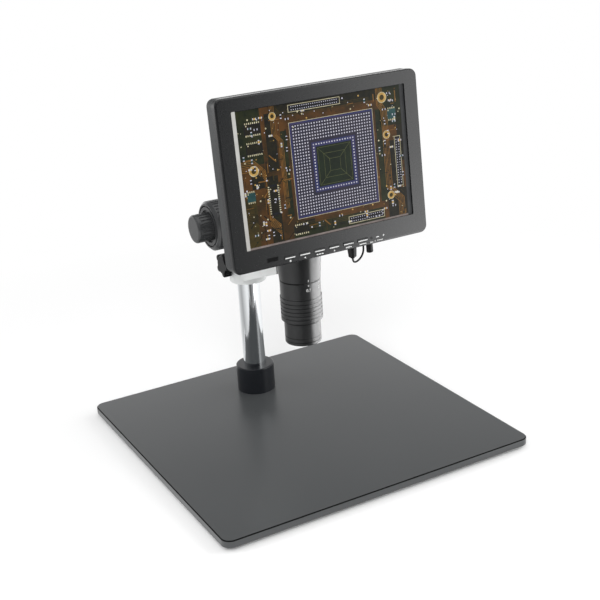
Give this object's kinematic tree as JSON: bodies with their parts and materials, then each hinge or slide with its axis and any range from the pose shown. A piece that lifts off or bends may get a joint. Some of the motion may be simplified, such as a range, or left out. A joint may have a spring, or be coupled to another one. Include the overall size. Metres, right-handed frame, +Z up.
{
  "type": "digital microscope",
  "caption": "Desktop digital microscope: a tilting screen over a zoom lens, on a sliding arm with focus knobs, on a column and flat base plate.",
  "frame": {"origin": "middle of the base plate at the underside of the rubber feet", "axes": "+X to the user's right along the screen, +Y to the back towards the column, +Z up along the column"},
  "size_m": [0.332, 0.328, 0.3692],
  "materials": {
    "plate_coat": "satin dark grey, slightly reflective",
    "foot_rubber": "matt black rubber",
    "screw_steel": "zinc-plated",
    "collar_black": "satin black",
    "column_chrome": "polished chrome",
    "core_steel": "turned",
    "cap_plastic": "matt black",
    "casting_white": "semi-gloss off-white",
    "bush_bronze": "turned",
    "knob_dark": "moulded, fine texture",
    "gear_brass": "cut",
    "carriage_alloy": "satin anodised",
    "housing_coat": "satin dark grey",
    "lens_black": "black anodised, satin",
    "grip_rubber": "ribbed",
    "lens_glass": "coated optical glass",
    "board_green": "solder mask",
    "chip_black": "glazed",
    "shell_grey": "fine texture",
    "screen": "lit picture of a circuit board, emissive",
    "key_white": "smooth",
    "eye_dark": "smoked",
    "lead_black": "smooth",
    "plug_black": "moulded"
  },
  "bodies": {
    "base": {"base_plate": "plate_coat", "rubber_feet": "foot_rubber", "foot_screws": "screw_steel", "column_collar": "collar_black", "collar_screws": "screw_steel", "column_tube": "column_chrome", "column_plug": "core_steel", "anchor_bolt": "screw_steel", "column_cap": "cap_plastic"},
    "slider": {"hub_bushes": "bush_bronze"},
    "bracket": {"arm_casting": "casting_white", "pinion_bushes": "bush_bronze"},
    "clamp": {"clamp_knob": "knob_dark", "clamp_stud": "screw_steel"},
    "head": {"focus_carriage": "carriage_alloy", "focus_rack": "gear_brass", "carriage_screws": "screw_steel", "head_screws": "screw_steel", "camera_housing": "housing_coat", "camera_lid": "housing_coat", "camera_board": "board_green", "image_sensor": "chip_black", "lens_core": "lens_black", "upper_barrel": "lens_black", "lower_barrel": "lens_black", "front_ring": "lens_black", "objective_lens": "lens_glass", "relay_lens": "lens_glass", "hinge_fork": "core_steel", "hinge_pin": "core_steel"},
    "pinion": {"coarse_knobs": "knob_dark", "pinion_shaft": "core_steel", "pinion_gear": "gear_brass"},
    "fine": {"fine_knobs": "knob_dark", "fine_shaft": "core_steel"},
    "zoom_ring": {"zoom_ring": "lens_black", "zoom_grip": "grip_rubber"},
    "zoom_cell": {"zoom_cell": "lens_black", "zoom_lens": "lens_glass"},
    "monitor": {"front_bezel": "shell_grey", "rear_cover": "shell_grey", "monitor_screws": "screw_steel", "lcd_panel": "screen", "main_board": "board_green", "key_board": "board_green", "ir_window": "eye_dark", "status_lamp": "eye_dark", "hinge_knuckle": "core_steel", "sockets": "chip_black", "video_plug": "plug_black", "port_cap": "plug_black", "lead_grommet": "plug_black", "video_lead": "lead_black"},
    "button_1": {"button_1": "key_white"},
    "button_2": {"button_2": "key_white"},
    "button_3": {"button_3": "key_white"},
    "button_4": {"button_4": "key_white"},
    "button_5": {"button_5": "key_white"},
    "button_6": {"button_6": "key_white"}
  },
  "joints": [
    {"name": "height_slide", "type": "slide", "parent": "base", "child": "slider", "axis": [0, 0, 1], "range_m": [-0.065, 0.085]},
    {"name": "column_swivel", "type": "hinge", "parent": "slider", "child": "bracket", "pos_m": [0, 0.1, 0.168], "axis": [0, 0, 1], "continuous": true},
    {"name": "clamp_turn", "type": "hinge", "parent": "bracket", "child": "clamp", "pos_m": [-0.026, 0.1, 0.1595], "axis": [-1, 0, 0], "range_deg": [0, 540]},
    {"name": "focus_slide", "type": "slide", "parent": "bracket", "child": "head", "axis": [0, 0, 1], "range_m": [-0.02, 0.02]},
    {"name": "coarse_focus", "type": "hinge", "parent": "bracket", "child": "pinion", "pos_m": [0, 0.056, 0.219], "axis": [1, 0, 0], "range_deg": [-160, 160]},
    {"name": "fine_focus", "type": "hinge", "parent": "bracket", "child": "fine", "pos_m": [0, 0.056, 0.219], "axis": [1, 0, 0], "range_deg": [-1275, 1275]},
    {"name": "zoom_turn", "type": "hinge", "parent": "head", "child": "zoom_ring", "pos_m": [0, -0.017, 0.151], "axis": [0, 0, 1], "range_deg": [-61, 61]},
    {"name": "zoom_travel", "type": "slide", "parent": "head", "child": "zoom_cell", "axis": [0, 0, 1], "range_m": [-0.008, 0.008]},
    {"name": "screen_tilt", "type": "hinge", "parent": "head", "child": "monitor", "pos_m": [0, -0.056, 0.262], "axis": [-1, 0, 0], "range_deg": [-10, 35]},
    {"name": "key_1", "type": "slide", "parent": "monitor", "child": "button_1", "axis": [0, 0.9962, -0.0872], "range_m": [0, 0.0005], "stiffness_N_per_m": 400, "springref_m": -0.0005},
    {"name": "key_2", "type": "slide", "parent": "monitor", "child": "button_2", "axis": [0, 0.9962, -0.0872], "range_m": [0, 0.0005], "stiffness_N_per_m": 400, "springref_m": -0.0005},
    {"name": "key_3", "type": "slide", "parent": "monitor", "child": "button_3", "axis": [0, 0.9962, -0.0872], "range_m": [0, 0.0005], "stiffness_N_per_m": 400, "springref_m": -0.0005},
    {"name": "key_4", "type": "slide", "parent": "monitor", "child": "button_4", "axis": [0, 0.9962, -0.0872], "range_m": [0, 0.0005], "stiffness_N_per_m": 400, "springref_m": -0.0005},
    {"name": "key_5", "type": "slide", "parent": "monitor", "child": "button_5", "axis": [0, 0.9962, -0.0872], "range_m": [0, 0.0005], "stiffness_N_per_m": 400, "springref_m": -0.0005},
    {"name": "key_6", "type": "slide", "parent": "monitor", "child": "button_6", "axis": [0, 0.9962, -0.0872], "range_m": [0, 0.0005], "stiffness_N_per_m": 400, "springref_m": -0.0005}
  ],
  "couplings": [
    {"joint": "coarse_focus", "follows": "focus_slide", "rad_per_m": -138.89},
    {"joint": "fine_focus", "follows": "focus_slide", "rad_per_m": -1111.1},
    {"joint": "zoom_turn", "follows": "zoom_travel", "rad_per_m": 130.89}
  ]
}
